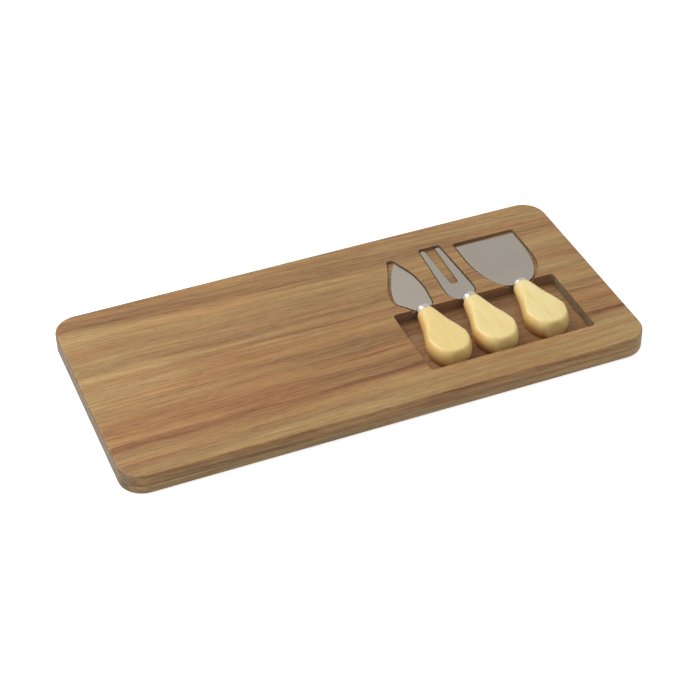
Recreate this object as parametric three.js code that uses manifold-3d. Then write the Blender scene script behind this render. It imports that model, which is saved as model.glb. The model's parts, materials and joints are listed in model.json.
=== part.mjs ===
// Acacia cheese board with a sunk trough for three small cheese knives.
// Lengths are in millimetres. X runs along the board, Y across it to the back edge, and Z up.
// The origin is the centre of the underside.
import * as THREE from 'three';
import { mergeVertices } from 'three/addons/utils/BufferGeometryUtils.js';
import Module from 'manifold-3d';

const wasm = await Module();
wasm.setup();

// Board: two glued panels, each of staves glued edge to edge
const boardLength = 380;
const boardWidth = 180;
const baseThickness = 6.8;
const topThickness = 8.7;
const cornerRadius = 17.5;
const edgeRounding = 1.4;
const baseStaveCount = 4;
const middleStaveWidth = 30.6;
const middleStaveReach = 13;
const innerStaveWidth = 37.4;

// Trough for the handles, milled through the top panel
const troughEndMargin = 30.4;
const troughFrontMargin = 25;
const troughCornerRadius = 2.5;
const troughEndGap = 7.1;
const spadeForkGap = 4;
const forkShovelGap = 8.7;
const shovelEndGap = 10.8;
const buttClearance = 5;
const neckSetback = 0.3;

// Blade pockets, milled part way into the top panel: room beside each blade and past its tip
const spadePocketSide = 1.5;
const spadePocketEnd = 2.6;
const spadePocketShift = 0.9;
const forkPocketSide = 0.9;
const forkPocketEnd = 1.8;
const shovelPocketSide = 1.4;
const shovelPocketEnd = 3.2;
const shovelPocketRightShare = 0.52;

// Running fits, and how far a cutter runs past the piece that it cuts
const fitGap = 0.3;
const restGap = 0.3;
const overrun = 2;

// Handle: turned like a pear, then flattened above and below its axis
const handleLength = 54.7;
const shovelHandleLength = 53.8;
const handleDiameter = 31.6;
const handleNeckDiameter = 13.8;
const handleAboveAxis = 7.8;
const handleBelowAxis = 7;
const shoulderRounding = 0.8;
const buttFlatDiameter = 10;
const widestShare = 0.66;
const swellShares = [[0, 0], [0.25, 0.21], [0.5, 0.42], [0.75, 0.73], [1, 1]];
const buttFullness = 2;

// Ferrule: a metal cap over the front of the handle
const ferruleLength = 4.9;
const shovelFerruleLength = 3.2;
const ferruleDiameter = 12.6;
const ferruleWall = 0.8;
const ferruleRounding = 1.2;

// Blades, stamped from one sheet with a flat tang
const bladeThickness = 1.2;
const neckWidth = 10;
const tangWidth = 5;
const tangLength = 26;

const spadeWidth = 25.9;
const spadeLength = 58.2;
const spadeLeftShares = [
  [-0.394, 0.12], [-0.546, 0.2], [-0.572, 0.28], [-0.498, 0.435], [-0.352, 0.607], [-0.178, 0.778],
];
const spadeTipShares = [0.099];
const spadePocketTipShares = [0.099, 0];
const spadeRightShares = [[0.336, 0.722], [0.409, 0.531], [0.428, 0.378], [0.401, 0.225], [0.343, 0.06]];

const forkWidth = 20.6;
const forkLength = 63.2;
const forkTipWidth = 15.8;
const forkOffset = 2.1;
const forkShoulderShares = [[0, 0], [0.5, 0.04], [1, 0.12], [1, 0.28]];
const tineWidth = 3.6;
const tineTipRounding = 1.2;
const slotRootWidth = 6.2;
const slotRootHeight = 18.2;

const shovelWidth = 46.6;
const shovelLength = 58.8;
const shovelLeftShare = 0.765;
const shovelRightShare = 0.7;
const shovelCornerRounding = 0.7;

// Facets on round stretches, and the turn past which a widened corner is rounded
const cornerSteps = 10;
const roundingSteps = 3;
const turnedSteps = 32;
const outlineSteps = 24;
const shoulderSteps = 8;
const slotSteps = 6;
const sideSteps = 12;
const swellSteps = 12;
const buttSteps = 8;
const joinSteps = 5;
const sharpTurn = Math.PI / 8;

// Places that follow from the sizes above
const boardTop = baseThickness + topThickness;
const axisHeight = baseThickness + restGap + handleBelowAxis;
const pocketFloor = axisHeight - bladeThickness / 2 - restGap;
const shoulderY = -(fitGap + ferruleLength + fitGap);
const shovelShoulderY = -(fitGap + shovelFerruleLength + fitGap);
const farthestButt = Math.max(handleLength - shoulderY, shovelHandleLength - shovelShoulderY);
const troughWidth = neckSetback + farthestButt + buttClearance;
const troughLength = troughEndGap + spadeForkGap + forkShovelGap + shovelEndGap + 3 * handleDiameter;
const troughRight = boardLength / 2 - troughEndMargin;
const troughLeft = troughRight - troughLength;
const troughFront = troughFrontMargin - boardWidth / 2;
const troughBack = troughFront + troughWidth;
const neckY = troughBack - neckSetback;
const spadeX = troughLeft + troughEndGap + handleDiameter / 2;
const forkX = spadeX + handleDiameter + spadeForkGap;
const shovelX = forkX + handleDiameter + forkShovelGap;

// Colours and finishes
const acaciaTop = { color: 0xb08e66, roughness: 0.55, metalness: 0 };
const acaciaBase = { color: 0x9a7653, roughness: 0.6, metalness: 0 };
const palewood = { color: 0xf0d994, roughness: 0.4, metalness: 0 };
const steel = { color: 0xa59d93, roughness: 0.3, metalness: 1 };
const chrome = { color: 0xd8dadc, roughness: 0.08, metalness: 1 };

function mesh(name, geometry, finish) {
  const piece = new THREE.Mesh(geometry, new THREE.MeshStandardMaterial(finish));
  piece.name = name;
  return piece;
}

// A closed mesh as a solid for joining and cutting
function solid(geometry) {
  const bare = geometry.clone();
  bare.deleteAttribute('normal');
  bare.deleteAttribute('uv');
  const merged = mergeVertices(bare);
  return new wasm.Manifold(new wasm.Mesh({
    numProp: 3,
    vertProperties: new Float32Array(merged.attributes.position.array),
    triVerts: new Uint32Array(merged.index.array),
  }));
}

function geometryOf(body) {
  const cut = body.getMesh();
  const geometry = new THREE.BufferGeometry();
  geometry.setAttribute('position', new THREE.BufferAttribute(new Float32Array(cut.vertProperties), 3));
  geometry.setIndex(Array.from(cut.triVerts));
  geometry.computeVertexNormals();
  return geometry;
}

// A block between two corners
function block(x0, x1, y0, y1, z0, z1) {
  const geometry = new THREE.BoxGeometry(x1 - x0, y1 - y0, z1 - z0);
  geometry.translate((x0 + x1) / 2, (y0 + y1) / 2, (z0 + z1) / 2);
  return geometry;
}

// A flat plate of an outline, between two heights
function plate(outline, z0, z1) {
  const shape = new THREE.Shape(outline);
  const geometry = new THREE.ExtrudeGeometry(shape, { depth: z1 - z0, bevelEnabled: false });
  geometry.translate(0, 0, z0);
  return geometry;
}

// An arc's points, from one angle to another in quarter turns
function arc(x, y, radius, from, to, steps) {
  const points = [];
  for (let i = 0; i <= steps; i += 1) {
    const angle = (from + ((to - from) * i) / steps) * (Math.PI / 2);
    points.push(new THREE.Vector2(x + radius * Math.cos(angle), y + radius * Math.sin(angle)));
  }
  return points;
}

// A rectangle with round corners, anticlockwise from its right end
function roundedRectangle(x0, x1, y0, y1, radius, steps) {
  return [
    ...arc(x1 - radius, y0 + radius, radius, -1, 0, steps),
    ...arc(x1 - radius, y1 - radius, radius, 0, 1, steps),
    ...arc(x0 + radius, y1 - radius, radius, 1, 2, steps),
    ...arc(x0 + radius, y0 + radius, radius, 2, 3, steps),
  ];
}

// A closed skin over rings of as many points each, with a flat fan at either end
function loft(rings) {
  const count = rings[0].length;
  const positions = rings.flatMap((ring) => ring.flatMap((p) => [p.x, p.y, p.z]));
  const index = [];
  for (let r = 0; r + 1 < rings.length; r += 1) {
    for (let i = 0; i < count; i += 1) {
      const a = r * count + i;
      const b = r * count + ((i + 1) % count);
      index.push(a, b, b + count, a, b + count, a + count);
    }
  }
  const last = (rings.length - 1) * count;
  for (let i = 1; i + 1 < count; i += 1) {
    index.push(0, i + 1, i, last, last + i, last + i + 1);
  }
  const geometry = new THREE.BufferGeometry();
  geometry.setAttribute('position', new THREE.BufferAttribute(new Float32Array(positions), 3));
  geometry.setIndex(index);
  return geometry;
}

// The board's outline drawn in from its edge, as a ring at one height
function boardRing(inset, height) {
  const x = boardLength / 2 - inset;
  const y = boardWidth / 2 - inset;
  const outline = roundedRectangle(-x, x, -y, y, cornerRadius - inset, cornerSteps);
  return outline.map((p) => new THREE.Vector3(p.x, p.y, height));
}

// A panel with a rounded rim: its square edge is at one height and its rounded edge at another
function panel(squareHeight, roundHeight) {
  const up = Math.sign(roundHeight - squareHeight);
  const rings = [boardRing(0, squareHeight)];
  for (let i = 0; i <= roundingSteps; i += 1) {
    const angle = (i / roundingSteps) * (Math.PI / 2);
    const inset = edgeRounding * (1 - Math.cos(angle));
    rings.push(boardRing(inset, roundHeight - up * edgeRounding * (1 - Math.sin(angle))));
  }
  return solid(loft(up > 0 ? rings : rings.reverse()));
}

// An anticlockwise outline moved outwards, with its outer corners turned round
function widened(outline, distance) {
  const count = outline.length;
  const normal = (a, b) => new THREE.Vector2(b.y - a.y, a.x - b.x).normalize();
  const points = [];
  outline.forEach((point, i) => {
    const before = normal(outline[(i + count - 1) % count], point);
    const after = normal(point, outline[(i + 1) % count]);
    const turn = Math.atan2(before.cross(after), before.dot(after));
    const steps = turn > sharpTurn ? joinSteps : 0;
    for (let s = 0; s <= steps; s += 1) {
      const angle = steps ? (turn * s) / steps : turn / 2;
      const reach = steps ? distance : distance / Math.cos(turn / 2);
      const side = before.clone().rotateAround(new THREE.Vector2(), angle);
      points.push(point.clone().addScaledVector(side, reach));
    }
  });
  return points;
}

// A smooth curve through points, without its first point
function curveThrough(points, steps) {
  return new THREE.SplineCurve(points).getPoints(steps).slice(1);
}

const point = (x, y) => new THREE.Vector2(x, y);

// Blade outlines run anticlockwise from the right of the neck, which is on the line where Y is 0
function spadeOutline(tipShares) {
  const place = ([across, along]) => point(across * spadeWidth, along * spadeLength);
  const neckRight = point(neckWidth / 2, 0);
  const neckLeft = point(-neckWidth / 2, 0);
  const tips = tipShares.map((across) => place([across, 1]));
  const right = [neckRight, ...spadeRightShares.map(place).reverse(), tips[0]];
  const left = [tips.at(-1), ...spadeLeftShares.map(place).reverse(), neckLeft];
  const rightCurve = curveThrough(right, outlineSteps);
  return [neckRight, ...rightCurve, ...tips.slice(1), ...curveThrough(left, outlineSteps)];
}

// The right edge of the fork, from its neck to where it starts to taper
function forkEdge() {
  const widening = (forkWidth - neckWidth) / 2;
  const place = ([out, along]) => point(neckWidth / 2 + widening * out, forkLength * along);
  const shoulder = forkShoulderShares.map(place);
  return [shoulder[0], ...curveThrough(shoulder, shoulderSteps)];
}

const mirrored = (points) => points.map((p) => point(-p.x, p.y)).reverse();
const offCentre = (points) => points.map((p) => point(p.x - forkOffset, p.y));

function forkTip() {
  const r = tineTipRounding;
  return arc(forkTipWidth / 2 - r, forkLength - r, r, 0, 1, joinSteps);
}

function forkOutline() {
  const r = tineTipRounding;
  const innerX = forkTipWidth / 2 - tineWidth;
  const inner = arc(innerX + r, forkLength - r, r, 1, 2, joinSteps);
  const rootRadius = slotRootWidth / 2;
  const root = arc(0, slotRootHeight + rootRadius, rootRadius, 4, 3, slotSteps);
  const right = [...forkEdge(), ...forkTip(), ...inner, ...root];
  return offCentre([...right, ...mirrored(right).slice(1)]);
}

// The fork without the slot between its tines, which its pocket follows
function forkHull() {
  const right = [...forkEdge(), ...forkTip()];
  return offCentre([...right, ...mirrored(right)]);
}

// The right edge of the shovel, which swells from its neck over a share of its length
function shovelEdge(share) {
  const sideY = share * shovelLength;
  const reach = (shovelWidth - neckWidth) / 2;
  const edge = [];
  for (let i = 0; i <= sideSteps; i += 1) {
    const angle = (i / sideSteps) * (Math.PI / 2);
    edge.push(point(neckWidth / 2 + reach * Math.sin(angle), sideY * (1 - Math.cos(angle))));
  }
  const r = shovelCornerRounding;
  return [...edge, ...arc(shovelWidth / 2 - r, shovelLength - r, r, 0, 1, roundingSteps)];
}

const shovelOutline = (rightShare) => [
  ...shovelEdge(rightShare),
  ...mirrored(shovelEdge(shovelLeftShare)),
];

// A blade and its tang, cut from one sheet: the tang's near end is inside the neck
function bladeGeometry(outline, shoulder) {
  const half = bladeThickness / 2;
  const body = solid(plate(outline, -half, half));
  const tangEnd = shoulder - tangLength;
  const tangRoot = neckWidth / 2;
  const tang = solid(block(-tangWidth / 2, tangWidth / 2, tangEnd, tangRoot, -half, half));
  return geometryOf(body.add(tang));
}

// The room that a tang takes, from its end to past the neck
function tangSlot(depthY) {
  const across = tangWidth / 2 + fitGap;
  const up = bladeThickness / 2 + fitGap;
  return solid(block(-across, across, depthY, overrun, -up, up));
}

// The handle's radius, from its shoulder to its butt
function handleProfile(shoulder, length) {
  const neckRadius = handleNeckDiameter / 2;
  const widest = handleDiameter / 2;
  const widestY = shoulder - widestShare * length;
  const buttY = shoulder - length;
  const r = shoulderRounding;
  const startY = shoulder - r;
  const swell = swellShares.map(([along, out]) => point(
    neckRadius + (widest - neckRadius) * out,
    startY + (widestY - startY) * along,
  ));
  const rounding = arc(neckRadius - r, startY, r, 1, 0, roundingSteps);
  const butt = [];
  const flat = buttFlatDiameter / 2;
  for (let i = 1; i <= buttSteps; i += 1) {
    const angle = (i / buttSteps) * (Math.PI / 2);
    const out = Math.cos(angle) ** (2 / buttFullness);
    const along = Math.sin(angle) ** (2 / buttFullness);
    butt.push(point(flat + (widest - flat) * out, widestY + (buttY - widestY) * along));
  }
  return [...rounding, ...curveThrough(swell, swellSteps), ...butt];
}

// The turned handle with a spigot for its ferrule, its two flats and the slot for the tang
function handleGeometry(shoulder, length) {
  const spigotRadius = ferruleDiameter / 2 - ferruleWall - fitGap;
  const spigotY = -(fitGap + ferruleWall + fitGap);
  const buttY = shoulder - length;
  const outline = [point(0, spigotY), point(spigotRadius, spigotY), point(spigotRadius, shoulder)];
  outline.push(...handleProfile(shoulder, length), point(0, buttY));
  const turned = solid(new THREE.LatheGeometry(outline.reverse(), turnedSteps));
  const wide = handleDiameter;
  const slab = solid(block(-wide, wide, buttY - overrun, overrun, -handleBelowAxis, handleAboveAxis));
  return geometryOf(turned.intersect(slab).subtract(tangSlot(shoulder - tangLength - fitGap)));
}

// The ferrule: a cap with a rounded front edge and a slot for the tang
function ferruleGeometry(shoulder) {
  const outer = ferruleDiameter / 2;
  const inner = outer - ferruleWall;
  const front = -fitGap;
  const back = shoulder + fitGap;
  const r = ferruleRounding;
  const outline = [
    point(0, front - ferruleWall),
    point(inner, front - ferruleWall),
    point(inner, back),
    point(outer, back),
    ...arc(outer - r, front - r, r, 0, 1, roundingSteps),
    point(0, front),
  ];
  const cap = solid(new THREE.LatheGeometry(outline, turnedSteps));
  return geometryOf(cap.subtract(tangSlot(back - overrun)));
}

// A knife lies along Y with the line between blade and ferrule on its own X axis
function knife(prefix, outline, shoulder, length, x) {
  const group = new THREE.Group();
  group.position.set(x, neckY, axisHeight);
  group.add(mesh(`${prefix}_blade`, bladeGeometry(outline, shoulder), steel));
  group.add(mesh(`${prefix}_ferrule`, ferruleGeometry(shoulder), chrome));
  group.add(mesh(`${prefix}_handle`, handleGeometry(shoulder, length), palewood));
  return group;
}

// The pocket for a blade: its outline with room beside it and past its tip
function pocket(outline, length, side, end, x) {
  const stretch = (length + end - side) / length;
  const longer = outline.map((p) => point(x + p.x, neckY + p.y * stretch));
  return solid(plate(widened(longer, side), pocketFloor, boardTop + overrun));
}

function troughCutter() {
  const r = troughCornerRadius;
  const outline = roundedRectangle(troughLeft, troughRight, troughFront, troughBack, r, joinSteps);
  return solid(plate(outline, baseThickness - overrun, boardTop + overrun));
}

// The staves of one panel: each is the slice between two joints
function stave(body, x0, x1, y0, y1) {
  const z0 = -overrun;
  const z1 = boardTop + overrun;
  return geometryOf(body.intersect(solid(block(x0, x1, y0, y1, z0, z1))));
}

const part = new THREE.Group();
const endX = boardLength / 2 + overrun;
const edgeY = boardWidth / 2 + overrun;

const basePanel = panel(baseThickness, 0);
for (let i = 0; i < baseStaveCount; i += 1) {
  const joint = (n) => -boardWidth / 2 + (n * boardWidth) / baseStaveCount;
  const y0 = i === 0 ? -edgeY : joint(i);
  const y1 = i === baseStaveCount - 1 ? edgeY : joint(i + 1);
  part.add(mesh(`base_stave_${i + 1}`, stave(basePanel, -endX, endX, y0, y1), acaciaBase));
}

const spadeHull = spadeOutline(spadePocketTipShares);
const shovelHull = shovelOutline(shovelPocketRightShare);
const topPanel = panel(baseThickness, boardTop)
  .subtract(troughCutter())
  .subtract(pocket(spadeHull, spadeLength, spadePocketSide, spadePocketEnd, spadeX - spadePocketShift))
  .subtract(pocket(forkHull(), forkLength, forkPocketSide, forkPocketEnd, forkX))
  .subtract(pocket(shovelHull, shovelLength, shovelPocketSide, shovelPocketEnd, shovelX));
const backJoint = troughBack + middleStaveReach + innerStaveWidth;
const middleBack = troughBack + middleStaveReach;
const middleFront = middleBack - middleStaveWidth;
const frontJoint = middleFront - innerStaveWidth;
const troughMiddle = (troughLeft + troughRight) / 2;
const leftOfTrough = stave(topPanel, -endX, troughMiddle, frontJoint, middleFront);
const rightOfTrough = stave(topPanel, troughMiddle, endX, frontJoint, middleFront);
part.add(mesh('top_stave_front', stave(topPanel, -endX, endX, -edgeY, frontJoint), acaciaTop));
part.add(mesh('top_stave_left_of_trough', leftOfTrough, acaciaTop));
part.add(mesh('top_stave_right_of_trough', rightOfTrough, acaciaTop));
part.add(mesh('top_stave_middle', stave(topPanel, -endX, endX, middleFront, middleBack), acaciaTop));
part.add(mesh('top_stave_under_blades', stave(topPanel, -endX, endX, middleBack, backJoint), acaciaTop));
part.add(mesh('top_stave_back', stave(topPanel, -endX, endX, backJoint, edgeY), acaciaTop));

const spade = spadeOutline(spadeTipShares);
const shovel = shovelOutline(shovelRightShare);
part.add(knife('spade', spade, shoulderY, handleLength, spadeX));
part.add(knife('fork', forkOutline(), shoulderY, handleLength, forkX));
part.add(knife('shovel', shovel, shovelShoulderY, shovelHandleLength, shovelX));

export default part;
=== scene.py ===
# Dresses the acacia cheese board and its three small knives: oiled staves, pale wood, steel and chrome.
# Lengths are in metres, in the frame that holds the board and the knives.
import json
import math

import bmesh
import bpy
from mathutils import Matrix, Vector

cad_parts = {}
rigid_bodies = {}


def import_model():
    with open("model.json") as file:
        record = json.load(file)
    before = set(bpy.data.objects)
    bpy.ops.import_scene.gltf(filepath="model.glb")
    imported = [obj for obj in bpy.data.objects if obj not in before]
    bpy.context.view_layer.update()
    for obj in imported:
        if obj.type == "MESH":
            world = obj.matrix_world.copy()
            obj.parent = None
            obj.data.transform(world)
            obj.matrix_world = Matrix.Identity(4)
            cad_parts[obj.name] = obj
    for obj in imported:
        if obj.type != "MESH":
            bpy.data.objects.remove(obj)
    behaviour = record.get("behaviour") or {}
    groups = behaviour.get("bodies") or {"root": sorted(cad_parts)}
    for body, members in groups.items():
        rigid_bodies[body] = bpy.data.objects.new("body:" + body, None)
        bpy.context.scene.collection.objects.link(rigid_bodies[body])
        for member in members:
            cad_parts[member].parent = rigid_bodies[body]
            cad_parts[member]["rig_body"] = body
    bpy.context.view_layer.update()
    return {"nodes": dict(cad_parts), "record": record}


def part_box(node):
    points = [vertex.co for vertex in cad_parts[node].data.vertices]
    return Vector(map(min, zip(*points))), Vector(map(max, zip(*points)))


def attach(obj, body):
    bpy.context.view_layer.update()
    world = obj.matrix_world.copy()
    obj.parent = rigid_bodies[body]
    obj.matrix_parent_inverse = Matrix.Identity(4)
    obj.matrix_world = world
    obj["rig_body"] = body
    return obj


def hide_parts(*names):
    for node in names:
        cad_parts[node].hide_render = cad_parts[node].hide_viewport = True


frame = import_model()

MM = 0.001

# Camera: where it stands, how it is turned, and how far the board's centre lies from its axis
CAMERA_HEADING = math.radians(21.67)
CAMERA_DIP = math.radians(38.83)
CAMERA_ROLL = math.radians(-1.065)
CAMERA_DISTANCE = 1283.8 * MM
CAMERA_RIGHT = 1.08 * MM
CAMERA_UP = -3.29 * MM
LENS = 94.05
SENSOR = 36

# Heights and edges of the board, from its solids
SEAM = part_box("top_stave_back")[0].z
BOARD_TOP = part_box("top_stave_back")[1].z
BOARD_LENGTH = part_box("top_stave_back")[1].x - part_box("top_stave_back")[0].x
BOARD_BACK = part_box("top_stave_back")[1].y
BOARD_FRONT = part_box("top_stave_front")[0].y
BOARD_WIDTH = BOARD_BACK - BOARD_FRONT
TOP_JOINTS = [
    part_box("top_stave_front")[1].y,
    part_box("top_stave_middle")[0].y,
    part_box("top_stave_middle")[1].y,
    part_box("top_stave_back")[0].y,
]
BASE_JOINTS = [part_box(f"base_stave_{n}")[0].y for n in (2, 3, 4)]

# Board edges: how far each is eased, and how far in from them the rounded corners reach
RIM_EASING = 0.25 * MM
SEAM_EASING = 0.15 * MM
OUTER_MARGIN = 19 * MM

# Handles: clearance, and the shape between the shoulder and the butt
FIT_GAP = 0.3 * MM
NECK_DIAMETER = 13.8 * MM
SHOULDER_ROUNDING = 0.8 * MM
BUTT_FLAT = 10 * MM
FLAT_SOFTENING = 0.7 * MM
WIDEST_SHARE = 0.66
SWELL_SHARES = [(0, 0), (0.25, 0.21), (0.5, 0.42), (0.75, 0.73), (1, 1)]

# Tangs and ferrules; a slot's cutter runs past the end that it opens
TANG_WIDTH = 5 * MM
TANG_LENGTH = 26 * MM
FERRULE_WALL = 0.8 * MM
FERRULE_ROUNDING = 1.4 * MM
OVERRUN = 2 * MM

# Blades: the ground rim thins past the neck over its fade
BLADE_EASING = 0.12 * MM
GRIND_WIDTH = 0.9 * MM
GRIND_DROP = 0.16 * MM
GRIND_FADE = 8 * MM

# Steps round and along the turned shapes
HANDLE_TURNS = 144
FERRULE_TURNS = 96
SPAN_STEPS = 14
BUTT_STEPS = 26
SHOULDER_STEPS = 6
CAP_STEPS = 8
LIP_STEPS = 3

# Merging and smoothing: the angles past which an edge stays sharp
MERGE = 0.002 * MM
FLAT_ANGLE = math.radians(0.4)
STAVE_SHARP = math.radians(42)
TURNED_SHARP = math.radians(38)
GROUND_SHARP = math.radians(12)
STAMPED_SHARP = math.radians(30)
BLADE_CORNER = math.radians(50)

# A unit normal's part along an axis: that of a face square to the axis, and of one beside it
SQUARE_TO = 0.99
BESIDE = 0.01


# Camera

def make_camera():
    flat = math.cos(CAMERA_DIP)
    ahead = Vector((math.sin(CAMERA_HEADING) * flat, math.cos(CAMERA_HEADING) * flat, -math.sin(CAMERA_DIP)))
    level = ahead.cross(Vector((0, 0, 1))).normalized()
    upright = level.cross(ahead)
    right = level * math.cos(CAMERA_ROLL) + upright * math.sin(CAMERA_ROLL)
    up = upright * math.cos(CAMERA_ROLL) - level * math.sin(CAMERA_ROLL)
    camera = bpy.data.objects.new("camera", bpy.data.cameras.new("camera"))
    camera.data.lens = LENS
    camera.data.sensor_width = SENSOR
    camera.matrix_world = Matrix((right, up, -ahead)).transposed().to_4x4()
    camera.location = right * CAMERA_RIGHT + up * CAMERA_UP - ahead * CAMERA_DISTANCE
    bpy.context.scene.collection.objects.link(camera)
    bpy.context.scene.camera = camera


make_camera()


# Shader writing

class Wire:
    """An output of a shader node. Arithmetic on it adds Math nodes to the same tree."""

    def __init__(self, tree, socket):
        self.tree = tree
        self.socket = socket

    def math(self, operation, *values, clamp=False):
        node = self.tree.nodes.new("ShaderNodeMath")
        node.operation = operation
        node.use_clamp = clamp
        for socket, value in zip(node.inputs, values):
            plug(socket, value)
        return Wire(self.tree, node.outputs[0])

    def __add__(self, other):
        return self.math("ADD", self, other)

    def __radd__(self, other):
        return self.math("ADD", other, self)

    def __sub__(self, other):
        return self.math("SUBTRACT", self, other)

    def __rsub__(self, other):
        return self.math("SUBTRACT", other, self)

    def __mul__(self, other):
        return self.math("MULTIPLY", self, other)

    def __rmul__(self, other):
        return self.math("MULTIPLY", other, self)

    def __truediv__(self, other):
        return self.math("DIVIDE", self, other)

    def __pow__(self, other):
        return self.math("POWER", self, other)

    def __gt__(self, other):
        return self.math("GREATER_THAN", self, other)

    def size(self):
        return self.math("ABSOLUTE", self)

    def clamped(self):
        return self.math("ADD", self, 0, clamp=True)


def plug(socket, value):
    """Links a wire to a socket, or sets the socket to a plain value."""
    if isinstance(value, Wire):
        value.tree.links.new(value.socket, socket)
    else:
        socket.default_value = value


def colour(red, green, blue):
    """A linear colour with full alpha from screen values of 0 to 255."""
    parts = [part / 255 for part in (red, green, blue)]
    linear = [part / 12.92 if part <= 0.04045 else ((part + 0.055) / 1.055) ** 2.4 for part in parts]
    return (*linear, 1)


def grey(level):
    return (level, level, level, 1)


def set_stops(ramp, stops):
    """Gives a ramp its stops, each a place and a grey level or a colour."""
    while len(ramp.elements) < len(stops):
        ramp.elements.new(0.5)
    for element, (place, value) in zip(ramp.elements, stops):
        element.position = place
        element.color = value if isinstance(value, tuple) else grey(value)


class Tree:
    """A node tree, and the one way in which nodes are added to it."""

    def __init__(self, tree):
        self.tree = tree
        self.tree.nodes.clear()

    def add(self, kind, settings=None, inputs=None, output=0):
        """The node's output as a wire; output None gives all of its outputs."""
        node = self.tree.nodes.new("ShaderNode" + kind)
        for name, value in (settings or {}).items():
            if name == "stops":
                set_stops(node.color_ramp, value)
            else:
                setattr(node, name, value)
        for name, value in (inputs or {}).items():
            plug(node.inputs[name], value)
        if output is None:
            return [Wire(self.tree, socket) for socket in node.outputs]
        return Wire(self.tree, node.outputs[output])

    def split(self, vector):
        return self.add("SeparateXYZ", inputs={0: vector}, output=None)

    def join(self, x, y, z):
        return self.add("CombineXYZ", inputs={"X": x, "Y": y, "Z": z})

    def noise(self, vector, detail=2.0, roughness=0.5):
        values = {"Vector": vector, "Scale": 1.0, "Detail": detail, "Roughness": roughness}
        return self.add("TexNoise", inputs=values)

    def ramp(self, position, stops):
        return self.add("ValToRGB", {"stops": stops}, {"Fac": position})

    def brightness(self, tint):
        return self.add("RGBToBW", inputs={0: tint})

    def ease(self, value, low, high, to_low=0.0, to_high=1.0):
        """A smooth step of a wire between two values."""
        ends = {"From Min": low, "From Max": high, "To Min": to_low, "To Max": to_high}
        return self.add("MapRange", {"interpolation_type": "SMOOTHSTEP"}, {"Value": value, **ends})

    def fade(self, value, low, high):
        """A smooth step down from 1 to 0."""
        return self.ease(value, low, high, 1.0, 0.0)

    def mix(self, share, first, second, blend="MIX"):
        """One colour over another; sockets 6 and 7 are a Mix node's colours, and 2 is its colour output."""
        settings = {"data_type": "RGBA", "blend_type": blend}
        return self.add("Mix", settings, {0: share, 6: first, 7: second}, output=2)

    def tinted(self, base, tint):
        return self.mix(1.0, base, tint, "MULTIPLY")


class Finish(Tree):
    """A material's tree, with its coordinates and its closing shader."""

    def __init__(self, name):
        self.material = bpy.data.materials.new(name)
        self.material.use_nodes = True
        super().__init__(self.material.node_tree)
        self.x, self.y, self.z = self.split(self.add("TexCoord", output="Object"))
        self.facing = self.split(self.add("TexCoord", output="Normal"))

    def close(self, base, roughness, bump=None, distance=0.0, strength=1.0, **constants):
        """Ends the material; a constant is named for its socket, with _ for each space."""
        inputs = {"Base Color": base, "Roughness": roughness}
        if bump is not None:
            relief = {"Height": bump, "Distance": distance, "Strength": strength}
            inputs["Normal"] = self.add("Bump", inputs=relief)
        inputs.update({name.replace("_", " "): value for name, value in constants.items()})
        shader = self.add("BsdfPrincipled", inputs=inputs)
        self.add("OutputMaterial", inputs={"Surface": shader}, output=None)
        return self.material


# Acacia

# Tone across the board, from the front edge to the back: (place in millimetres, dark 0 to light 1)
LEFT_BANDS = [
    (-84, 0.6), (-75, 0.42), (-68, 0.6), (-58, 0.4), (-48, 0.66), (-38, 0.46), (-28, 0.6), (-20, 0.62),
    (-15.5, 0.52), (-9, 0.62), (2, 0.54), (7, 0.38), (13, 0.74), (19, 0.4), (30, 0.6), (44, 0.56), (56, 0.76),
    (66, 0.3), (72, 0.36), (80, 0.58),
]
RIGHT_BANDS = [
    (-84, 0.68), (-77, 0.56), (-69, 0.72), (-62, 0.62), (-56, 0.12), (-51, 0.56), (-44, 0.38), (-36, 0.58),
    (-27, 0.36), (-17, 0.34), (-8, 0.64), (9, 0.46), (13, 0.64), (20, 0.42), (36, 0.54), (55, 0.66),
    (64, 0.3), (79, 0.54),
]
BASE_BANDS = [
    (-90, 0.6), (-78, 0.5), (-66, 0.5), (-58, 0.4), (-45, 0.58), (-36, 0.42), (-24, 0.5), (-12, 0.32),
    (0, 0.6), (14, 0.36), (30, 0.56), (44, 0.42), (60, 0.6), (74, 0.4), (90, 0.5),
]

# How red the wood is across the board: (place in millimetres, share)
RED_BANDS = [
    (-90, 0.1), (-63, 0.15), (-57, 1.0), (-50, 0.6), (-40, 0.6), (-20, 0.4), (0, 0.3), (14, 0.12), (90, 0.08),
]

# Soft ovals of lighter tone: middle in X and Y and reach in X and Y, in millimetres, and lift in tone; the
# base panel's oval on the trough floor and the oval on the trough's right wall are painted light
TOP_PATCH = (-172, 4, 62, 36, 0.14)
BASE_PAINTED_LIGHT = (44, -46, 26, 34, 0.24)
WALL_PAINTED_LIGHT = (159, -32, 6, 32, 0.3)

# Layers of the grain: cells in a metre along it and across it, octaves, and how rough they are
BROAD = (5, 120, 3.0, 0.5)
STREAKS = (14, 420, 3.0, 0.6)
FIBRES = (100, 1700, 2.0, 0.6)
HUES = (7, 80, 1.5, 0.5)
RED_PATCHES = (12, 60, 1.0, 0.5)
DARK_LINES = (16, 900, 1.0, 0.5)
PORES = (170, 2600, 1.0, 0.5)

# Course of the grain: how far it wavers, how it slants, and how much it closes up with depth
WAVER = 7 * MM
SLANT = 0.012
SLANT_MORE_AT_BACK = 0.036
SLANT_LESS_IN_FRONT = 0.032
CLOSING = 10

# Shares of the darker marks over the long grain; the last is painted shade on the cut walls, with some
# darkening from the router
LINE_SHARE = 0.22
PORE_SHARE = 0.35
GLUE_SHARE = 0.5
ROUTED_SHADE_SHARE = 0.7

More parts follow.
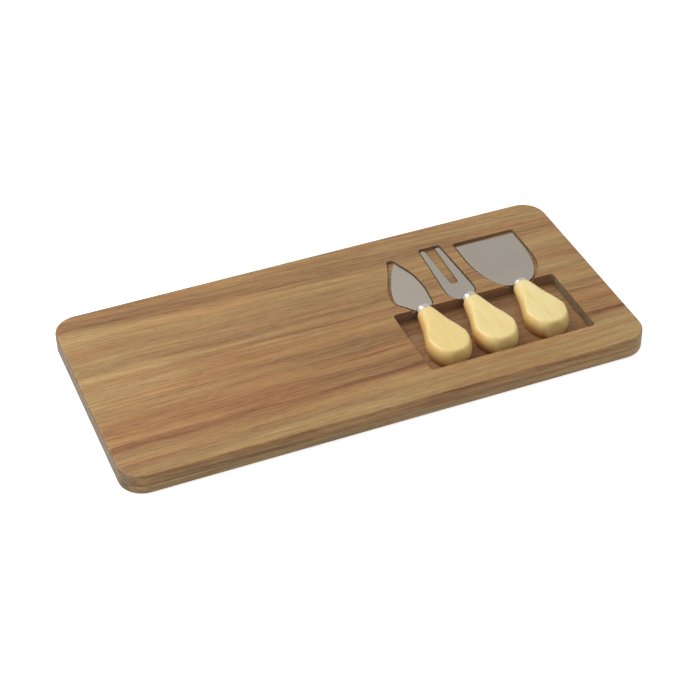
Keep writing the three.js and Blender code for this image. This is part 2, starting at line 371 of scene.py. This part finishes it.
ACACIA_TONES = [
    (0.0, colour(96, 63, 40)),
    (0.25, colour(137, 99, 67)),
    (0.5, colour(165, 129, 89)),
    (0.75, colour(184, 150, 105)),
    (1.0, colour(205, 172, 126)),
]
OLIVE = colour(247, 253, 240)
ORANGE = colour(255, 244, 226)
REDDENED = colour(255, 222, 205)
WARM = colour(255, 253, 250)
COOL = colour(236, 242, 255)
ROSY = colour(240, 237, 253)
END_GRAIN = colour(153, 134, 103)
END_GRAIN_DARK = colour(101, 81, 59)
# Painted shade for the cut walls of the trough and pockets, which stand in shadow, with some darkening from
# the router
ROUTED_AND_SHADED = colour(146, 118, 102)
PORE = colour(92, 62, 42)
GLUE = colour(70, 50, 36)


class Acacia(Finish):
    """Oiled acacia whose grain runs along X. The figure breaks at each joint between staves."""

    def __init__(self, name, joints, top):
        super().__init__(name)
        self.seed = sum((self.y > joint) * (n * 3.7 + 2.1) for n, joint in enumerate(joints, 1))
        self.depth = top - self.z
        self.level = self.facing[2].size()
        self.on_side = self.ease(self.facing[1].size(), 0.4, 0.8)
        self.on_end = self.ease(self.facing[0].size(), 0.55, 0.85)
        back_stave = self.y > joints[-1]
        front_staves = 1 - (self.y > joints[1])
        drift = self.x * (SLANT + SLANT_MORE_AT_BACK * back_stave - SLANT_LESS_IN_FRONT * front_staves)
        waver = self.noise(self.join(self.x * 9 + self.seed, self.y * 14, self.seed)) - 0.5
        self.across = self.y * (1 - self.depth * CLOSING) + drift + waver * WAVER
        self.place = (self.across - BOARD_FRONT) / BOARD_WIDTH
        self.streaks = self.drawn_out(STREAKS, self.seed, over_z=self.seed) - 0.5
        self.fibres = self.drawn_out(FIBRES, self.seed) - 0.5
        pores = self.join(self.x * PORES[0] + self.seed, self.y * PORES[1], self.z * PORES[1])
        self.pores = self.ease(self.noise(pores, *PORES[2:]), 0.6, 0.72)

    def drawn_out(self, layer, over_x, over_y=0, over_z=0):
        """Noise drawn out along the grain, shifted in each direction by so many cells."""
        along_cells, across_cells, octaves, roughness = layer
        x = self.x * along_cells + over_x
        y = self.across * across_cells + over_y
        return self.noise(self.join(x, y, self.z * across_cells + over_z), octaves, roughness)

    def banded(self, bands):
        """A ramp across the board, along the course of the grain."""
        return self.ramp(self.place, [((y * MM - BOARD_FRONT) / BOARD_WIDTH, tone) for y, tone in bands])

    def light_patch(self, x, y, reach_x, reach_y, lift):
        along = (self.x - x * MM) / (reach_x * MM)
        across = (self.y - y * MM) / (reach_y * MM)
        return self.ease(along * along + across * across, 0.3, 1.0, lift, 0.0)

    def tone(self, bands, shade, side_lift, right_lift, patch):
        """From dark 0 to light 1: the bands, the streaks, the places where the tone is lifted, partly as
        painted light, and painted light and shade on the upright sides.
        """
        to_right = self.ease(self.x, -0.4 * BOARD_LENGTH, 0.05 * BOARD_LENGTH)
        band = self.brightness(self.mix(to_right, *(self.banded(half) for half in bands)))
        broad = self.drawn_out(BROAD, self.seed, over_z=self.seed) - 0.5
        figure = broad * 0.42 + self.streaks * 0.95 + self.fibres * 0.6
        # Lighter towards the right end; on the base panel this is painted light on the trough floor and the
        # front
        at_right = self.ease(self.x, 0.27 * BOARD_LENGTH, 0.42 * BOARD_LENGTH)
        # The soft ovals lift the tone; the one on the trough floor is painted light
        patched = self.light_patch(*patch) * (1 - self.on_side)
        # Painted shade and light on the upright sides: darker on the top panel, lighter on the base panel
        lift = shade + self.on_side * side_lift + at_right * right_lift + patched
        return (band + figure * (1 + self.on_side * 0.5) + lift).clamped()

    def long_grain(self, tone, redness, casts):
        """The colour along the grain; casts are those of a level face and of a side."""
        hue = self.ease(self.drawn_out(HUES, self.seed, over_y=7), 0.25, 0.75)
        tint = self.tinted(self.mix(hue, OLIVE, ORANGE), self.mix(self.on_side, *casts))
        base = self.tinted(self.ramp(tone, ACACIA_TONES), tint)
        patchy = 0.4 + self.drawn_out(RED_PATCHES, 0, over_z=self.seed)
        red_share = (self.brightness(self.banded(RED_BANDS)) * redness * patchy).clamped()
        base = self.mix(red_share, base, self.tinted(base, REDDENED))
        lines = self.ease(self.drawn_out(DARK_LINES, self.seed, over_y=3), 0.58, 0.72)
        base = self.mix(lines * LINE_SHARE, base, PORE)
        return self.mix(self.pores * PORE_SHARE, base, PORE)

    def end_grain(self):
        rings = self.noise(self.join(self.seed, self.y * 160 + self.z * 60, self.z * 420), 3.0, 0.6)
        specks = self.noise(self.join(self.seed, self.y * 2400, self.z * 2400), 1.0)
        # The oval lift on the trough's right wall is painted light
        tone = (rings * 1.8 + specks * 0.4 + self.light_patch(*WALL_PAINTED_LIGHT) - 0.75).clamped()
        return self.mix(tone, END_GRAIN_DARK, END_GRAIN)

    def beside_seam(self):
        """How far an upright face is darkened by the glue line between the panels."""
        near = self.fade((self.z - SEAM).size(), 0.1 * MM, 0.4 * MM)
        return near * (1 - self.level)

    def routed_and_shaded(self):
        """Where a wall along the grain was cut below the top, away from the board's outer edge. It gets
        painted shade, with some darkening from the router.
        """
        margin_x = BOARD_LENGTH / 2 - OUTER_MARGIN
        margin_y = BOARD_BACK - OUTER_MARGIN
        within_x = self.fade(self.x.size(), margin_x - MM, margin_x)
        within_y = self.fade(self.y.size(), margin_y - MM, margin_y)
        below = self.ease(self.depth, 0.2 * MM, 1.2 * MM)
        return (below * (1 - self.level) * within_x * within_y * (1 - self.on_end)).clamped()


def oiled_acacia(name, joints, top, bands, redness, casts, **lifts):
    wood = Acacia(name, joints, top)
    base = wood.long_grain(wood.tone(bands, **lifts), redness, casts)
    base = wood.mix(wood.on_end, base, wood.end_grain())
    base = wood.mix(wood.beside_seam() * GLUE_SHARE, base, GLUE)
    # Painted shade on the cut walls, partly the router's darkening
    base = wood.mix(wood.routed_and_shaded() * ROUTED_SHADE_SHARE, base, ROUTED_AND_SHADED)
    roughness = (0.5 + wood.fibres * 0.3 + wood.pores * 0.2 + wood.on_end * 0.12).clamped()
    relief = wood.fibres * 0.5 + wood.streaks * 0.3 - wood.pores * 0.8
    return wood.close(base, roughness, relief, 0.12 * MM, 0.6, Specular_IOR_Level=0.35)


# Knife finishes

HANDLE_TONES = [(0.0, colour(236, 202, 118)), (0.45, colour(250, 225, 148)), (1.0, colour(255, 240, 174))]
HANDLE_GOLD = colour(240, 202, 112)
# Deeper orange of the handles' sides: partly the wood's own colour, partly painted shade
HANDLE_SIDE_TONE_AND_SHADE = colour(240, 190, 108)
# Painted shade for the handles' undersides
HANDLE_UNDER_SHADE = colour(182, 128, 70)
# Darker tone by the handle's shoulder
HANDLE_BY_SHOULDER = colour(214, 178, 108)
BUTT_RINGS = (colour(196, 150, 88), colour(228, 184, 118))
STEEL_TONES = (colour(150, 142, 132), colour(168, 160, 149))
CHROME_TONES = (colour(178, 175, 170), colour(196, 193, 188))


def pale_wood(name, axis, shoulder_y, butt_y, seed, golden):
    """Pale lacquered wood whose grain runs along the handle, with end grain on the butt's small disc."""
    wood = Finish(name)
    x = wood.x - axis.x
    z = wood.z - axis.z
    fibres = wood.noise(wood.join(x * 1500 + seed, wood.y * 50, z * 1500), 2.0, 0.6) - 0.5
    figure = wood.noise(wood.join(x * 260 + seed, wood.y * 34, z * 260), 3.0, 0.55) - 0.5
    blotches = wood.noise(wood.join(x * 70 + seed, wood.y * 45, z * 70))
    tone = (0.35 + figure * 1.4 + fibres * 0.8 + blotches * 0.5).clamped()
    base = wood.mix(golden, wood.ramp(tone, HANDLE_TONES), HANDLE_GOLD)
    # The sides are darker and more orange than the flats, partly as painted shade; less so near the butt, as
    # painted light there
    side = 1 - wood.ease(wood.facing[2].size(), 0.5, 0.95)
    orange = 0.3 + wood.ease(blotches, 0.4, 0.7) * 0.5
    painted_light_near_butt = wood.fade(wood.y - butt_y, 2 * MM, 9 * MM)
    base = wood.mix(side * orange * (1 - painted_light_near_butt * 0.7), base, HANDLE_SIDE_TONE_AND_SHADE)
    # Painted shade on the undersides, most on those that face left
    shaded_under = wood.fade(wood.facing[2], -0.4, 0.5)
    shaded_leftward = wood.fade(wood.facing[0], -0.7, -0.1)
    base = wood.mix(shaded_under * (0.1 + shaded_leftward * 0.9), base, HANDLE_UNDER_SHADE)
    disc = wood.fade((x * x + z * z) ** 0.5, BUTT_FLAT / 2 - 1.2 * MM, BUTT_FLAT / 2 + 0.2 * MM)
    disc = disc * wood.fade(wood.y - butt_y, 0.2 * MM, 0.5 * MM)
    rings = wood.noise(wood.join(x * 500 + seed, z * 1500, seed))
    base = wood.mix(disc * 0.15, base, wood.mix(rings, *BUTT_RINGS))
    # Darker towards the shoulder
    by_shoulder = wood.ease(wood.y - shoulder_y, -3 * MM, 0.0)
    base = wood.mix(by_shoulder * 0.3, base, HANDLE_BY_SHOULDER)
    roughness = (0.36 + fibres * 0.25 + disc * 0.25).clamped()
    relief = fibres * 0.6 + figure * 0.4
    return wood.close(base, roughness, relief, 0.05 * MM, 0.4, Coat_Weight=0.4, Coat_Roughness=0.22)


def satin_steel(name, middle, seed, painted_lightness):
    """Stamped stainless sheet, finely brushed across the blade."""
    steel = Finish(name)
    x = steel.x - middle.x
    y = steel.y - middle.y
    lines = steel.noise(steel.join(x * 60 + seed, y * 3200, steel.z * 900), 2.0, 0.6) - 0.5
    cloud = steel.noise(steel.join(x * 38 + seed, y * 38, seed)) - 0.5
    # The per-blade lift makes the same steel lighter on one blade: painted light
    shimmer = (0.5 + painted_lightness + lines * 0.5 + cloud * 0.5).clamped()
    roughness = (0.36 + lines * 0.14 + cloud * 0.06).clamped()
    return steel.close(steel.mix(shimmer, *STEEL_TONES), roughness, lines, 0.01 * MM, 0.3, Metallic=1.0)


def polished_chrome(name):
    chrome = Finish(name)
    smears = chrome.noise(chrome.join(chrome.x * 260, chrome.y * 260, chrome.z * 260))
    return chrome.close(chrome.mix(smears, *CHROME_TONES), 0.1 + smears * 0.1, Metallic=1.0)


# Mesh helpers

def merged(node):
    """A solid's mesh with its loose triangles merged and its flat faces made whole."""
    mesh = bmesh.new()
    mesh.from_mesh(frame["nodes"][node].data)
    bmesh.ops.remove_doubles(mesh, verts=mesh.verts, dist=MERGE)
    bmesh.ops.dissolve_limit(mesh, angle_limit=FLAT_ANGLE, verts=mesh.verts, edges=mesh.edges)
    return mesh


def bevel(mesh, edges, offset, segments):
    settings = {"affect": "EDGES", "segments": segments, "profile": 0.5, "material": -1}
    bmesh.ops.bevel(mesh, geom=edges, offset=offset, offset_type="OFFSET", **settings)


def smooth(mesh, sharp_angle):
    """Smooth shading, with the edges past an angle kept sharp."""
    for face in mesh.faces:
        face.smooth = True
    for edge in mesh.edges:
        edge.smooth = edge.calc_face_angle(math.pi) < sharp_angle


def add_piece(name, mesh, material, node):
    """Makes a piece that stands for a solid and rides with it."""
    data = bpy.data.meshes.new(name)
    mesh.to_mesh(data)
    mesh.free()
    data.materials.append(material)
    thing = bpy.data.objects.new(name, data)
    bpy.context.scene.collection.objects.link(thing)
    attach(thing, frame["nodes"][node]["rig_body"])
    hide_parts(node)
    return thing


def even_shading(thing):
    """Keeps a large flat face flat where a rounded edge meets it."""
    modifier = thing.modifiers.new("even_shading", "WEIGHTED_NORMAL")
    modifier.keep_sharp = True


def turned(profile, turns):
    """A closed shape spun about the Y axis from points of (radius, place along Y), both ends on the axis."""
    mesh = bmesh.new()
    points = [mesh.verts.new((radius, along, 0)) for radius, along in profile]
    edges = [mesh.edges.new(pair) for pair in zip(points, points[1:])]
    settings = {"cent": (0, 0, 0), "axis": (0, 1, 0), "dvec": (0, 0, 0), "angle": 2 * math.pi}
    bmesh.ops.spin(mesh, geom=points + edges, steps=turns, use_merge=True, use_duplicate=False, **settings)
    bmesh.ops.remove_doubles(mesh, verts=mesh.verts, dist=MERGE)
    bmesh.ops.recalc_face_normals(mesh, faces=mesh.faces)
    return mesh


def rounded(centre_radius, centre_along, radius, first, last, steps):
    """Points on an arc of a profile, between two angles in quarter turns."""
    angles = [(first + (last - first) * n / steps) * math.pi / 2 for n in range(steps + 1)]
    return [(centre_radius + radius * math.cos(a), centre_along + radius * math.sin(a)) for a in angles]


def curve_through(points, steps):
    """A smooth curve through points, with a few steps between each two."""
    ends = [points[0], *points, points[-1]]
    made = []
    for before, start, stop, after in zip(ends, ends[1:], ends[2:], ends[3:]):
        leave = (stop - before) / 2
        reach = (after - start) / 2
        for step in range(steps):
            t = step / steps
            cubic = (2 * start - 2 * stop + leave + reach) * t ** 3
            square = (3 * stop - 3 * start - 2 * leave - reach) * t ** 2
            made.append(cubic + square + leave * t + start)
    return [*made, points[-1]]


def slotted(mesh, low, high):
    """Cuts a square slot between two corners into a mesh."""
    cutter = bmesh.new()
    bmesh.ops.create_cube(cutter, size=1)
    bmesh.ops.scale(cutter, vec=high - low, verts=cutter.verts)
    bmesh.ops.translate(cutter, vec=(high + low) / 2, verts=cutter.verts)
    pair = []
    for name, part in (("slot_body", mesh), ("slot_cutter", cutter)):
        data = bpy.data.meshes.new(name)
        part.to_mesh(data)
        part.free()
        pair.append(bpy.data.objects.new(name, data))
        bpy.context.scene.collection.objects.link(pair[-1])
    body, tool = pair
    modifier = body.modifiers.new("slot", "BOOLEAN")
    modifier.operation = "DIFFERENCE"
    modifier.solver = "EXACT"
    modifier.object = tool
    shaped = body.evaluated_get(bpy.context.evaluated_depsgraph_get())
    cut = bmesh.new()
    cut.from_mesh(shaped.to_mesh())
    shaped.to_mesh_clear()
    for thing in pair:
        data = thing.data
        bpy.data.objects.remove(thing)
        bpy.data.meshes.remove(data)
    return cut


# Board

def is_outer(face):
    """Whether an upright face is on the board's outer edge."""
    spot = face.calc_center_median()
    near = abs(spot.x) > BOARD_LENGTH / 2 - OUTER_MARGIN or abs(spot.y) > BOARD_BACK - OUTER_MARGIN
    return near and face.normal.x * spot.x + face.normal.y * spot.y > 0


def corner_edges(mesh, height, keep):
    """The square edges at one height, between a level face and an upright one that keep accepts."""
    found = []
    for edge in mesh.edges:
        if any(abs(vertex.co.z - height) > MERGE for vertex in edge.verts) or len(edge.link_faces) != 2:
            continue
        level = [face for face in edge.link_faces if abs(face.normal.z) > SQUARE_TO]
        upright = [face for face in edge.link_faces if abs(face.normal.z) < BESIDE]
        if len(level) == 1 and len(upright) == 1 and edge.is_convex and keep(upright[0]):
            found.append(edge)
    return found


def dress_stave(node, material):
    """A stave with the rims of its cuts eased, and its outer edges at the seam."""
    mesh = merged(node)
    low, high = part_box(node)

    def is_cut(face):
        """Whether an upright face is a wall of the trough or of a pocket, and not a glued joint."""
        at_joint = any(abs(face.calc_center_median().y - y) < MERGE for y in (low.y, high.y))
        return not is_outer(face) and not (at_joint and abs(face.normal.y) > SQUARE_TO)

    if high.z > SEAM + MERGE:
        bevel(mesh, corner_edges(mesh, BOARD_TOP, is_cut), RIM_EASING, segments=2)
    bevel(mesh, corner_edges(mesh, SEAM, is_outer), SEAM_EASING, segments=1)
    smooth(mesh, STAVE_SHARP)
    even_shading(add_piece(f"{node}_wood", mesh, material, node))


# The upright sides of the top panel get painted shade, and those of the base panel painted light
top_wood = oiled_acacia(
    "acacia_top", TOP_JOINTS, BOARD_TOP, (LEFT_BANDS, RIGHT_BANDS), redness=0.75, casts=(WARM, WARM),
    shade=0.0, side_lift=-0.2, right_lift=0.08, patch=TOP_PATCH,
)
# The base panel's lift towards the right end is painted light on the trough floor and the front
base_wood = oiled_acacia(
    "acacia_base", BASE_JOINTS, SEAM, (BASE_BANDS, BASE_BANDS), redness=0.7, casts=(ROSY, COOL),
    shade=0.06, side_lift=0.04, right_lift=0.26, patch=BASE_PAINTED_LIGHT,
)
for stave in sorted(frame["record"]["behaviour"]["bodies"]["board"]):
    dress_stave(stave, top_wood if stave.startswith("top") else base_wood)


# Knives

def handle_profile(spigot, spigot_y, shoulder_y, butt_y, widest):
    """From the spigot's end over the shoulder and the swell to the butt; the widths are radii."""
    neck = NECK_DIAMETER / 2
    start_y = shoulder_y - SHOULDER_ROUNDING
    widest_y = shoulder_y - WIDEST_SHARE * (shoulder_y - butt_y)
    reach = Vector((widest - neck, widest_y - start_y))
    swell = [Vector((neck + reach.x * out, start_y + reach.y * along)) for along, out in SWELL_SHARES]
    profile = [(0, spigot_y), (spigot, spigot_y), (spigot, shoulder_y)]
    profile += rounded(neck - SHOULDER_ROUNDING, start_y, SHOULDER_ROUNDING, 1, 0, SHOULDER_STEPS)
    profile += [tuple(point) for point in curve_through(swell, SPAN_STEPS)[1:]]
    flat = BUTT_FLAT / 2
    for step in range(1, BUTT_STEPS + 1):
        angle = step / BUTT_STEPS * math.pi / 2
        out = flat + (widest - flat) * math.cos(angle)
        profile.append((out, widest_y + (butt_y - widest_y) * math.sin(angle)))
    return [*profile, (0, butt_y)]


def flatten(mesh, above, below):
    """Presses soft-edged flats into a turned shape, so far above and below its axis."""
    for vertex in mesh.verts:
        height = abs(vertex.co.z)
        limit = above if vertex.co.z > 0 else below
        lowered = FLAT_SOFTENING * math.log1p(math.exp((height - limit) / FLAT_SOFTENING))
        vertex.co.z = math.copysign(height - lowered, vertex.co.z)


def tang_slot(knife, x, near_y, far_y):
    """Two corners of the slot that a knife's tang goes through."""
    low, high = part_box(f"{knife}_blade")
    near = Vector((x - TANG_WIDTH / 2 - FIT_GAP, near_y, low.z - FIT_GAP))
    far = Vector((x + TANG_WIDTH / 2 + FIT_GAP, far_y, high.z + FIT_GAP))
    return near, far


def dress_handle(knife, seed, golden):
    low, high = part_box(f"{knife}_handle")
    ferrule_low, ferrule_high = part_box(f"{knife}_ferrule")
    axis = (ferrule_low + ferrule_high) / 2
    shoulder_y = ferrule_low.y - FIT_GAP
    spigot = (ferrule_high.x - ferrule_low.x) / 2 - FERRULE_WALL - FIT_GAP
    profile = handle_profile(spigot, high.y, shoulder_y, low.y, (high.x - low.x) / 2)
    mesh = turned(profile, HANDLE_TURNS)
    flatten(mesh, high.z - axis.z, axis.z - low.z)
    bmesh.ops.translate(mesh, vec=(axis.x, 0, axis.z), verts=mesh.verts)
    tang_end = shoulder_y - TANG_LENGTH - FIT_GAP
    mesh = slotted(mesh, *tang_slot(knife, axis.x, tang_end, high.y + OVERRUN))
    smooth(mesh, TURNED_SHARP)
    finish = pale_wood(f"{knife}_handle_wood", axis, shoulder_y, low.y, seed, golden)
    add_piece(f"{knife}_handle_turned", mesh, finish, f"{knife}_handle")


def dress_ferrule(knife, finish):
    """A cap with a rounded front and a slightly eased lip."""
    low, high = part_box(f"{knife}_ferrule")
    middle = (low + high) / 2
    outer = (high.x - low.x) / 2
    inner = outer - FERRULE_WALL
    lip = FIT_GAP / 2
    profile = [(0, high.y - FERRULE_WALL), (inner, high.y - FERRULE_WALL), (inner, low.y)]
    profile += rounded(outer - lip, low.y + lip, lip, -1, 0, LIP_STEPS)
    profile += rounded(outer - FERRULE_ROUNDING, high.y - FERRULE_ROUNDING, FERRULE_ROUNDING, 0, 1, CAP_STEPS)
    profile.append((0, high.y))
    mesh = turned(profile, FERRULE_TURNS)
    bmesh.ops.translate(mesh, vec=(middle.x, 0, middle.z), verts=mesh.verts)
    mesh = slotted(mesh, *tang_slot(knife, middle.x, low.y - OVERRUN, high.y + OVERRUN))
    smooth(mesh, TURNED_SHARP)
    add_piece(f"{knife}_ferrule_cap", mesh, finish, f"{knife}_ferrule")


def grind(mesh, neck_y):
    """Thins a blade's rim from above, growing from nothing at the neck."""
    upper = max((face for face in mesh.faces if face.normal.z > SQUARE_TO), key=lambda face: face.calc_area())
    settings = {"thickness": GRIND_WIDTH, "depth": 0, "use_even_offset": True}
    ring = bmesh.ops.inset_region(mesh, faces=[upper], **settings)["faces"]
    for vertex in {v for face in ring for v in face.verts} - set(upper.verts):
        share = min(max((vertex.co.y - neck_y) / GRIND_FADE, 0), 1)
        vertex.co.z -= GRIND_DROP * share


def dress_blade(knife, ground, seed, painted_lightness):
    """The stamped blade with its edges eased, and ground where it cuts."""
    node = f"{knife}_blade"
    low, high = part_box(node)
    mesh = merged(node)
    if ground:
        grind(mesh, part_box(f"{knife}_ferrule")[1].y + FIT_GAP)
    corners = [edge for edge in mesh.edges if edge.calc_face_angle(0) > BLADE_CORNER]
    bevel(mesh, corners, BLADE_EASING, segments=2)
    smooth(mesh, GROUND_SHARP if ground else STAMPED_SHARP)
    finish = satin_steel(f"{knife}_steel", (low + high) / 2, seed, painted_lightness)
    even_shading(add_piece(f"{knife}_blade_sheet", mesh, finish, node))


# How golden each handle is, and how much each blade's steel is lifted as painted light
KNIFE_TONES = {"spade": (0.5, 0.4), "fork": (0.15, 0.0), "shovel": (0.05, 0.0)}

chrome_finish = polished_chrome("polished_chrome")
for number, (knife, (golden, painted_lightness)) in enumerate(KNIFE_TONES.items()):
    dress_handle(knife, 1.7 + 5.3 * number, golden)
    dress_ferrule(knife, chrome_finish)
    dress_blade(knife, knife != "fork", 2.9 + 4.1 * number, painted_lightness)


# Studio

FLOOR_REACH = 3.0
FLOOR_GAP = 0.2 * MM
FLOOR_GREY = 0.86
FLOOR_LIFT = 0.68
SKY_LEVEL = 0.42
SKY_MORE_ABOVE = 0.14
SKY_LESS_AT_SIDE = 0.17


def shown_white(tree):
    """Whether a ray comes from the camera, or from metal or lacquer that shows the studio."""
    rays = ("Is Camera Ray", "Is Glossy Ray", "Is Transmission Ray")
    return sum(tree.add("LightPath", output=ray) for ray in rays).clamped()


def white_paint():
    """Matte paint that looks white from above and clear from below, and still takes the board's shadow."""
    paint = bpy.data.materials.new("white_floor")
    paint.use_nodes = True
    tree = Tree(paint.node_tree)
    matte = tree.add("BsdfDiffuse", inputs={"Color": grey(FLOOR_GREY)})
    lift = {"Color": grey(1.0), "Strength": shown_white(tree) * FLOOR_LIFT}
    above = tree.add("AddShader", inputs={0: matte, 1: tree.add("Emission", inputs=lift)})
    below = tree.add("BsdfTransparent")
    from_below = tree.add("NewGeometry", output="Backfacing")
    surface = tree.add("MixShader", inputs={0: from_below, 1: above, 2: below})
    tree.add("OutputMaterial", inputs={"Surface": surface}, output=None)
    return paint


def make_floor():
    mesh = bmesh.new()
    bmesh.ops.create_grid(mesh, x_segments=1, y_segments=1, size=FLOOR_REACH)
    bmesh.ops.translate(mesh, vec=(0, 0, -FLOOR_GAP), verts=mesh.verts)
    data = bpy.data.meshes.new("floor")
    mesh.to_mesh(data)
    mesh.free()
    data.materials.append(white_paint())
    floor = bpy.data.objects.new("floor", data)
    bpy.context.scene.collection.objects.link(floor)


def make_world():
    """A soft sky, dimmer towards the back left, that the camera sees as white."""
    world = bpy.data.worlds.new("white_studio")
    world.use_nodes = True
    bpy.context.scene.world = world
    tree = Tree(world.node_tree)
    towards = tree.split(tree.add("TexCoord", output="Generated"))
    height = tree.ease(towards[2], -0.1, 0.9)
    back_left = tree.ease(towards[0] * -0.8 + towards[1] * 0.6, -0.9, 0.9)
    level = SKY_LEVEL + SKY_MORE_ABOVE * height - SKY_LESS_AT_SIDE * back_left
    shade = tree.mix(shown_white(tree), tree.join(level, level, level), grey(1.0))
    backdrop = tree.add("Background", inputs={"Color": shade, "Strength": 1.0})
    tree.add("OutputWorld", inputs={"Surface": backdrop}, output=None)


def make_lamp(name, place, aim, size, power):
    lamp = bpy.data.objects.new(name, bpy.data.lights.new(name, "AREA"))
    lamp.data.shape = "SQUARE"
    lamp.data.size = size
    lamp.data.energy = power
    lamp.location = place
    lamp.rotation_mode = "QUATERNION"
    lamp.rotation_quaternion = (aim - place).to_track_quat("-Z", "Y")
    bpy.context.scene.collection.objects.link(lamp)


make_floor()
make_world()
make_lamp("key", Vector((-0.55, 0.5, 1.0)), aim=Vector((0.05, 0, 0)), size=0.9, power=8.4)
make_lamp("side", Vector((-1.1, -0.1, 0.55)), aim=Vector((0, 0, 0)), size=0.5, power=3.0)
bpy.context.scene.view_settings.view_transform = "Standard"
